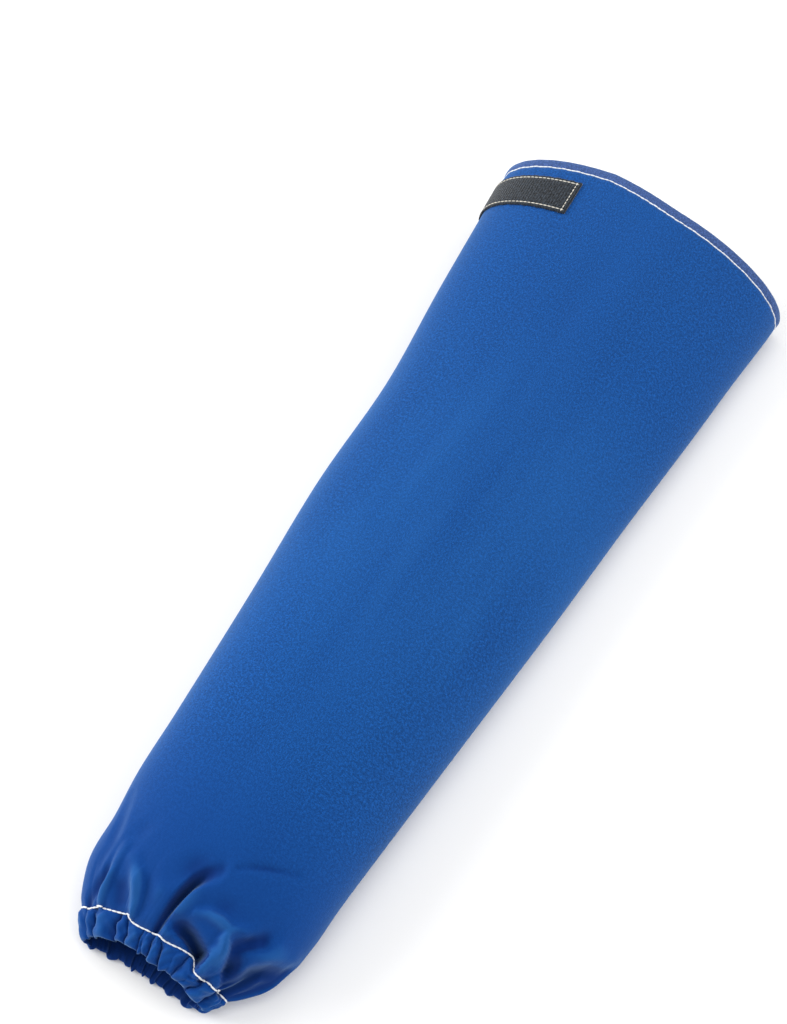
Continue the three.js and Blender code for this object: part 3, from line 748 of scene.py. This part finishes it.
def cotton(name, colour, weave_pitch, seed):
    """Blue cotton: a fine twill weave and uneven dye, with painted highlight on ridges, painted shade in
    dents, inside and towards the wrist, and a paler band partway up.
    """
    shader = Shader(name)
    across, along, place = shader.place()
    shift = (seed, seed * 0.7, 0.0)
    shifted = shader.node("ShaderNodeVectorMath", {"operation": "ADD"}, {0: place, 1: shift})
    clouds = shader.noise(shader.stretched(shifted, (30.0, 5.0, 1.0)), 1.0, 4.0)
    mottle = shader.noise(shader.stretched(shifted, (1.0, 0.7, 1.0)), 860.0, 3.0, 0.65)
    warp = shader.noise(shader.stretched(shifted, (2600.0, 260.0, 1.0)), 1.0, 2.0)
    weft = shader.noise(shader.stretched(shifted, (300.0, 2400.0, 1.0)), 1.0, 2.0)
    # the cloth's relief from the fold attribute, lowered on the hidden inner face to paint shade there
    relief = shader.node("ShaderNodeAttribute", {"attribute_name": "fold"}, output=2)
    # painted highlight: the ridges of the relief are painted paler
    painted_ridge_highlight = relief.between(0.3, 3.2)
    # painted shade: the dents of the relief are painted darker
    painted_dent_shade = (relief * -1.0).between(0.2, 2.9)
    # a paler tone, for the painted highlight on the ridges and for the paler band partway up
    pale = (colour[0] * 1.6 + 0.010, colour[1] * 1.55 + 0.014, colour[2] * 1.35)
    # the dark tone of the painted shade in the dents
    deep = (colour[0] * 0.15, colour[1] * 0.30, colour[2] * 0.52)
    # painted shade: the cloth is painted darker towards the wrist and over the whole casing, and its mottle
    # and specks are fainter there
    wrist = 1.0 - along.between(25.0, 125.0)
    # paler in a patchy band from about 90 to 430 mm up the sleeve
    midway_paler = along.between(90.0, 240.0) * (1.0 - along.between(300.0, 430.0))
    base = shader.mix(clouds.between(0.3, 0.72), scaled(colour, 0.9), scaled(colour, 1.08))
    speck = shader.noise(shader.stretched(shifted, (0.7, 1.0, 1.0)), 1700.0, 2.0, 0.6)
    base = shader.mix(mottle.between(0.40, 0.62) * (0.70 - wrist * 0.42), base, scaled(colour, 1.8))
    base = shader.mix(speck.between(0.40, 0.62) * (0.62 - wrist * 0.3), base, scaled(colour, 0.42))
    base = shader.mix((warp * 0.5 + weft * 0.5).between(0.36, 0.66) * 0.26, base, scaled(colour, 0.62))
    # painted shade towards the wrist
    base = shader.mix(wrist * 0.8, base, (colour[0] * 0.3, colour[1] * 0.66, colour[2] * 0.86))
    base = shader.mix(midway_paler * 0.3 * clouds.between(0.2, 0.7), base, pale)
    # painted highlight on the ridges
    base = shader.mix(painted_ridge_highlight * 0.55, base, pale)
    # painted shade in the dents
    base = shader.mix(painted_dent_shade * 0.85, base, deep)
    # painted shade, darkest in the deepest dents and on the hidden inner face
    base = shader.mix((relief * -1.0).between(3.4, 7.0) * 0.45, base, scaled(colour, 0.2))
    turn = 2 * math.pi / weave_pitch
    twill = ((across + along * 0.62) * turn).sine() * 0.22 + ((across - along * 2.1) * turn).sine() * 0.12
    threads = shader.bump(twill + warp * 1.4 + weft * 1.1, 0.00010, 0.5)
    hand = shader.bump(clouds + mottle * 0.12, 0.0012, 0.22, threads)
    return shader.give(
        Base_Color=base, Roughness=0.9 - (mottle * 0.12), Normal=hand,
        Sheen_Weight=0.36, Sheen_Roughness=0.42, Sheen_Tint=(0.46, 0.74, 1.0, 1.0),
        Specular_IOR_Level=0.1,
    )


def pile_tape(name, colour, looped):
    """Charcoal tape: a brushed loop pile, or the close ribs of a hook tape's smooth back."""
    shader = Shader(name)
    way, width, place = shader.place()
    fuzz = shader.noise(place, 1500.0, 4.0, 0.65)
    tufts = shader.noise(shader.stretched(place, (900.0, 500.0, 1.0)), 1.0, 3.0, 0.65)
    drift = shader.noise(shader.stretched(place, (90.0, 220.0, 1.0)), 1.0, 2.0)
    ribs = ((way + drift * 0.5) * (2 * math.pi / 1.8)).sine() * 0.5 + 0.5
    inside = ((width - TAPE_WIDTH / 2).size() * -1.0 + TAPE_WIDTH / 2).between(1.2, 2.0)
    base = shader.mix(tufts.between(0.38, 0.62), scaled(colour, 0.35), scaled(colour, 2.7))
    base = shader.mix(ribs * (0.6 if looped else 0.3) * inside, base, scaled(colour, 0.3))
    base = shader.mix((1.0 - inside) * 0.7, base, scaled(colour, 1.2))
    depth = 0.0006 if looped else 0.00025
    height = fuzz * inside * (1.0 if looped else 0.3) + ribs * 0.35 + tufts * 0.5
    return shader.give(
        Base_Color=base, Roughness=0.95 if looped else 0.6, Normal=shader.bump(height, depth, 0.8),
        Sheen_Weight=0.35 if looped else 0.12, Sheen_Roughness=0.4, Specular_IOR_Level=0.2,
    )


def thread(name, colour):
    """Spun sewing thread with a faint twist."""
    shader = Shader(name)
    place = shader.node("ShaderNodeTexCoord", output=3)
    fibre = shader.noise(shader.stretched(place, (2600.0, 2600.0, 2600.0)), 1.0, 3.0)
    base = shader.mix(fibre.between(0.3, 0.7), scaled(colour, 0.86), colour)
    return shader.give(
        Base_Color=base, Roughness=0.75, Normal=shader.bump(fibre, 0.00012, 0.5),
        Sheen_Weight=0.2, Specular_IOR_Level=0.25,
    )


def worn_by(piece, material, node):
    """The finish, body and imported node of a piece."""
    piece.data.materials.clear()
    piece.data.materials.append(material)
    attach(piece, "root")
    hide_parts(node)


# Settings

COLOUR = {"subtype": "COLOR", "size": 3, "min": 0.0, "max": 1.0}


class SleeveCloth(bpy.types.PropertyGroup):
    colour: FloatVectorProperty(
        name="Cloth colour", description="Dye of the cotton",
        default=(0.005, 0.066, 0.268), **COLOUR
    )
    thickness: FloatProperty(
        name="Cloth thickness", description="Thickness of one layer of cloth", unit="LENGTH", default=0.0012
    )
    weave_pitch: FloatProperty(
        name="Weave pitch", description="Distance between two ribs of the twill",
        unit="LENGTH", default=0.0009
    )
    gather_height: FloatProperty(
        name="Gather height", description="Height of the wrist's gathers",
        unit="LENGTH", default=GATHER_HEIGHT / 1000
    )


class SleeveTape(bpy.types.PropertyGroup):
    loop_colour: FloatVectorProperty(
        name="Loop tape colour", description="Colour of the loop pile",
        default=(0.014, 0.019, 0.026), **COLOUR
    )
    hook_colour: FloatVectorProperty(
        name="Hook tape colour", description="Colour of the hook tape's back",
        default=(0.020, 0.023, 0.028), **COLOUR
    )
    thickness: FloatProperty(
        name="Tape thickness", description="Thickness of the tape", unit="LENGTH", default=0.0013
    )


class SleeveThread(bpy.types.PropertyGroup):
    white: FloatVectorProperty(
        name="Cloth thread", description="Thread of the hem and the casing",
        default=(0.86, 0.88, 0.90), **COLOUR
    )
    cream: FloatVectorProperty(
        name="Tape thread", description="Thread that holds the tape",
        default=(0.80, 0.76, 0.66), **COLOUR
    )
    pitch: FloatProperty(
        name="Stitch pitch", description="Length of one stitch", unit="LENGTH", default=0.0032
    )
    thickness: FloatProperty(
        name="Thread thickness", description="Thickness of the thread", unit="LENGTH", default=0.0009
    )


class SleeveStage(bpy.types.PropertyGroup):
    floor_colour: FloatVectorProperty(
        name="Floor colour", description="Colour of the pale floor",
        default=(0.94, 0.94, 0.94), **COLOUR
    )
    lens: FloatProperty(name="Lens", description="Focal length in millimetres", default=50.0)
    distance: FloatProperty(
        name="Camera distance", description="From the camera to what it looks at",
        unit="LENGTH", default=0.802
    )


# Operators

class SLEEVE_OT_body(bpy.types.Operator):
    """Make the tapered cloth tube between the casing and the hem"""

    bl_idname = "sleeve.body"
    bl_label = "Cloth body"

    def execute(self, context):
        cloth = context.scene.sleeve_cloth
        wall, height = cloth.thickness * 1000, cloth.gather_height * 1000
        start, end = CASING_DEPTH + 0.15, HEM_LINE - 0.1
        near = np.arange(start, 108, 1.5)
        far = np.linspace(108, end - 3, 50)
        close = [end - 1.6, end - 0.7, end]
        outer = [(along, 0.0, 1.0) for along in (*near, *far, *close)]
        back = (*np.linspace(end, 112, 24), *near[::-1])
        inner = [(along, wall, 0.85) for along in back]
        piece = ring("sleeve_cloth", outer + inner, BODY_STEPS, height, SEAM_AT, wall / 2)
        blue = cotton("blue_cotton", tuple(cloth.colour), cloth.weave_pitch * 1000, 0.0)
        worn_by(piece, blue, "sleeve_body")
        return {"FINISHED"}


class SLEEVE_OT_hem(bpy.types.Operator):
    """Make the hem that is turned in round the upper opening"""

    bl_idname = "sleeve.hem"
    bl_label = "Upper hem"

    def execute(self, context):
        cloth = context.scene.sleeve_cloth
        start = HEM_LINE
        wall = HEM_LAYERS
        outer = [(start, 0.1, 1.0), (start + 0.5, 0.0, 1.0)]
        outer += [(start + 1.2, -0.1, 1.0), (start + 2.4, -0.25, 1.0)]
        outer += [(start + 4.0, -0.28, 1.0), (LENGTH - 1.6, -0.2, 1.0), (LENGTH - 0.7, 0.1, 1.0)]
        rim = [(LENGTH - 0.15, 0.6, 1.0), (LENGTH, wall / 2, 1.0), (LENGTH - 0.15, wall - 0.6, 1.0)]
        inner = [(LENGTH - 0.7, wall - 0.1, 1.0), (LENGTH - 2.0, wall + 0.1, 1.0)]
        inner += [(LENGTH - 4.5, wall, 1.0), (start + 0.8, wall - 0.1, 1.0), (start, wall - 0.5, 1.0)]
        piece = ring("hem_cloth", outer + rim + inner, BODY_STEPS, GATHER_HEIGHT, SEAM_AT)
        # a paler, less saturated tone of the cloth colour for the hem
        hem_colour = (cloth.colour[0] + 0.045, cloth.colour[1] * 1.45, cloth.colour[2] * 0.97)
        paler = cotton("hem_cotton", hem_colour, cloth.weave_pitch * 1000, 0.31)
        worn_by(piece, paler, "upper_hem")
        return {"FINISHED"}


class SLEEVE_OT_casing(bpy.types.Operator):
    """Make the gathered casing round the wrist's elastic"""

    bl_idname = "sleeve.casing"
    bl_label = "Wrist casing"

    def execute(self, context):
        cloth = context.scene.sleeve_cloth
        height = cloth.gather_height * 1000
        end = CASING_DEPTH - 0.15
        wall = CASING_LAYERS
        lip = [(1.1, wall - 0.3, 0.5), (0.35, wall - 1.0, 0.75), (0.0, wall / 2, 0.9)]
        lip += [(0.3, 0.6, 1.0), (0.9, 0.1, 1.0)]
        places = np.arange(1.6, end, 0.8)
        outer = [(along, -0.1 * math.sin(math.pi * along / end), 1.0) for along in places]
        outer += [(end, 0.0, 1.0)]
        inner = [(end, wall - 0.6, 0.4), (end - 1.0, wall, 0.4)]
        inner += [(along, wall, 0.4) for along in np.arange(end - 2.4, 2.0, -1.5)]
        piece = ring("casing_cloth", lip + outer + inner, CASING_STEPS, height, SEAM_AT)
        blue = cotton("casing_cotton", tuple(cloth.colour), cloth.weave_pitch * 1000, 0.57)
        worn_by(piece, blue, "wrist_casing")
        return {"FINISHED"}


class SLEEVE_OT_tape(bpy.types.Operator):
    """Make the loop strip and the hook tab of the closure"""

    bl_idname = "sleeve.tape"
    bl_label = "Closure tape"

    def execute(self, context):
        tape = context.scene.sleeve_tape
        thickness = tape.thickness * 1000
        edge = np.array([0, 0.35, 0.9, 1.5, 2.0, 2.5, 3.1])
        lines = np.concatenate([edge, np.linspace(4.5, TAPE_WIDTH - 4.5, 9), TAPE_WIDTH - edge[::-1]])
        along = lines + TAPE_TOP - TAPE_WIDTH
        middle = TAPE_TOP - TAPE_WIDTH / 2
        places = tape_places(middle, STRIP_FROM, STRIP_LENGTH, 1)
        strip = band("loop_tape", along, places, np.full(len(places), TAPE_OFF_CLOTH), thickness)
        worn_by(strip, pile_tape("loop_pile", tuple(tape.loop_colour), True), "loop_strip")
        back = tape_places(middle, TAB_FROM, TAB_LENGTH, -1)
        over = 1 - smooth((back - places[-1]) * 4 * GATHERS - 0.6)
        tab = band("hook_tape", along, back, TAPE_OFF_CLOTH + (TAPE + GAP) * over, thickness)
        worn_by(tab, pile_tape("hook_back", tuple(tape.hook_colour), False), "hook_tab")
        return {"FINISHED"}


class SLEEVE_OT_stitches(bpy.types.Operator):
    """Sew the hem, the casing, the tape and the seam underneath"""

    bl_idname = "sleeve.stitches"
    bl_label = "Stitches"

    def execute(self, context):
        sewing, tape = context.scene.sleeve_thread, context.scene.sleeve_tape
        white = thread("white_thread", tuple(sewing.white))
        cream = thread("cream_thread", tuple(sewing.cream))
        pitch, thick = sewing.pitch, sewing.thickness
        around = SEAM_AT + np.arange(ROW_STEPS) / ROW_STEPS
        hem = lay(HEM_LINE + 0.1, around, -0.05)
        stitched("hem_stitches", [(hem, True)], white, pitch, thick, 5)
        casing = lay(CASING_DEPTH, around, -0.35, 0.35)
        stitched("casing_stitches", [(casing, True)], white, pitch * 0.9, thick, 11)
        middle = TAPE_TOP - TAPE_WIDTH / 2
        places = tape_places(middle, STRIP_FROM, STRIP_LENGTH, 1)
        height = -(TAPE_OFF_CLOTH + tape.thickness * 1000 - 0.1)
        step = TAPE_MARGIN / girth_at(middle)
        inner = places[places > STRIP_FROM + step]
        low, high = TAPE_TOP - TAPE_WIDTH + TAPE_MARGIN, TAPE_TOP - TAPE_MARGIN
        rows = [(lay(line, inner, height), False) for line in (high, low)]
        across = np.linspace(low, high, 40)
        rows.append((lay(across, inner[0], height), False))
        stitched("tape_stitches", rows, cream, 0.0027, 0.0006, 23, 0.98)
        sewn = lay(across, TAB_FROM - step, height)
        stitched("tab_stitches", [(sewn, False)], cream, 0.0027, 0.0006, 31, 0.98)
        long = np.linspace(CASING_DEPTH + 3, HEM_LINE - 3, 300)
        seam = lay(long, SEAM_AT) + np.array([0.0, 0.0, 0.0001])
        stitched("seam_stitches", [(seam, False)], white, pitch, 0.0007, 41)
        return {"FINISHED"}


class SLEEVE_OT_sheets(bpy.types.Operator):
    """Work out the cloth's girth along the sleeve, between the casing and the hem"""

    bl_idname = "sleeve.sheets"
    bl_label = "Cut sizes"

    def execute(self, context):
        girths = column(GIRTH, 1, np.linspace(CASING_DEPTH, HEM_LINE, 200) / LENGTH)
        return {"FINISHED"}


class SLEEVE_OT_stage(bpy.types.Operator):
    """Set the floor, the soft lights and the camera"""

    bl_idname = "sleeve.stage"
    bl_label = "Stage"

    def execute(self, context):
        stage = context.scene.sleeve_stage
        scene = context.scene
        mesh = bpy.data.meshes.new("floor")
        corners = [(x, y, -0.0002) for x, y in ((-6, -6), (6, -6), (6, 6), (-6, 6))]
        mesh.from_pydata(corners, [], [(0, 1, 2, 3)])
        floor = added("floor", mesh)
        paper = Shader("pale_floor")
        place = paper.node("ShaderNodeTexCoord", output=3)
        grain = paper.noise(place, 3.0, 2.0)
        tone = paper.mix(grain, scaled(tuple(stage.floor_colour), 0.99), tuple(stage.floor_colour))
        mesh.materials.append(paper.give(Base_Color=tone, Roughness=0.85, Specular_IOR_Level=0.1))
        for name, place, size, power in (
            ("key", (-1.7, -0.45, 0.85), 1.1, 31.0),
            ("fill", (1.6, 0.5, 1.2), 2.0, 20.0),
            ("top", (-0.2, 0.7, 2.2), 2.0, 16.0),
        ):
            lamp = bpy.data.lights.new(name, "AREA")
            lamp.energy, lamp.size = power, size
            holder = added(name, lamp)
            holder.location = place
            holder.rotation_mode = "QUATERNION"
            holder.rotation_quaternion = (-Vector(place)).to_track_quat("-Z", "Y")
        world = bpy.data.worlds.new("soft_room")
        world.use_nodes = True
        light = world.node_tree.nodes["Background"].inputs
        light["Color"].default_value = (1.0, 1.0, 1.0, 1.0)
        light["Strength"].default_value = 0.62
        scene.world = world
        scene.view_settings.view_transform = "Standard"
        camera = bpy.data.cameras.new("camera")
        camera.lens, camera.sensor_width = stage.lens, 36.0
        holder = added("camera", camera)
        azimuth, elevation = math.radians(CAMERA_AZIMUTH), math.radians(CAMERA_ELEVATION)
        flat = math.cos(elevation)
        back = Vector((math.sin(azimuth) * flat, -math.cos(azimuth) * flat, math.sin(elevation)))
        holder.location = Vector(CAMERA_TARGET) + back * stage.distance
        holder.rotation_mode = "QUATERNION"
        holder.rotation_quaternion = (-back).to_track_quat("-Z", "Y")
        camera.clip_start, camera.clip_end = 0.05, 30.0
        scene.camera = holder
        return {"FINISHED"}


class SLEEVE_PT_panel(bpy.types.Panel):
    """Lists the steps that make the sleeve"""

    bl_idname = "SLEEVE_PT_panel"
    bl_label = "Welding sleeve"
    bl_space_type = "VIEW_3D"
    bl_region_type = "UI"
    bl_category = "Sleeve"

    def draw(self, context):
        for group in ("sleeve_cloth", "sleeve_tape", "sleeve_thread", "sleeve_stage"):
            box = self.layout.box()
            settings = getattr(context.scene, group)
            for name in settings.__annotations__:
                box.prop(settings, name)
        for operator in OPERATORS:
            self.layout.operator(operator.bl_idname)


SETTINGS = (
    ("sleeve_cloth", SleeveCloth), ("sleeve_tape", SleeveTape),
    ("sleeve_thread", SleeveThread), ("sleeve_stage", SleeveStage),
)
OPERATORS = (
    SLEEVE_OT_stage, SLEEVE_OT_body, SLEEVE_OT_hem, SLEEVE_OT_casing,
    SLEEVE_OT_tape, SLEEVE_OT_stitches, SLEEVE_OT_sheets,
)


def register():
    for name, group in SETTINGS:
        bpy.utils.register_class(group)
        setattr(bpy.types.Scene, name, PointerProperty(type=group))
    for kind in (*OPERATORS, SLEEVE_PT_panel):
        bpy.utils.register_class(kind)


def unregister():
    for kind in reversed((*OPERATORS, SLEEVE_PT_panel)):
        bpy.utils.unregister_class(kind)
    for name, group in reversed(SETTINGS):
        delattr(bpy.types.Scene, name)
        bpy.utils.unregister_class(group)


def main():
    register()
    bpy.ops.sleeve.stage()
    bpy.ops.sleeve.body()
    bpy.ops.sleeve.hem()
    bpy.ops.sleeve.casing()
    bpy.ops.sleeve.tape()
    bpy.ops.sleeve.stitches()
    bpy.ops.sleeve.sheets()


if __name__ == "__main__":
    main()
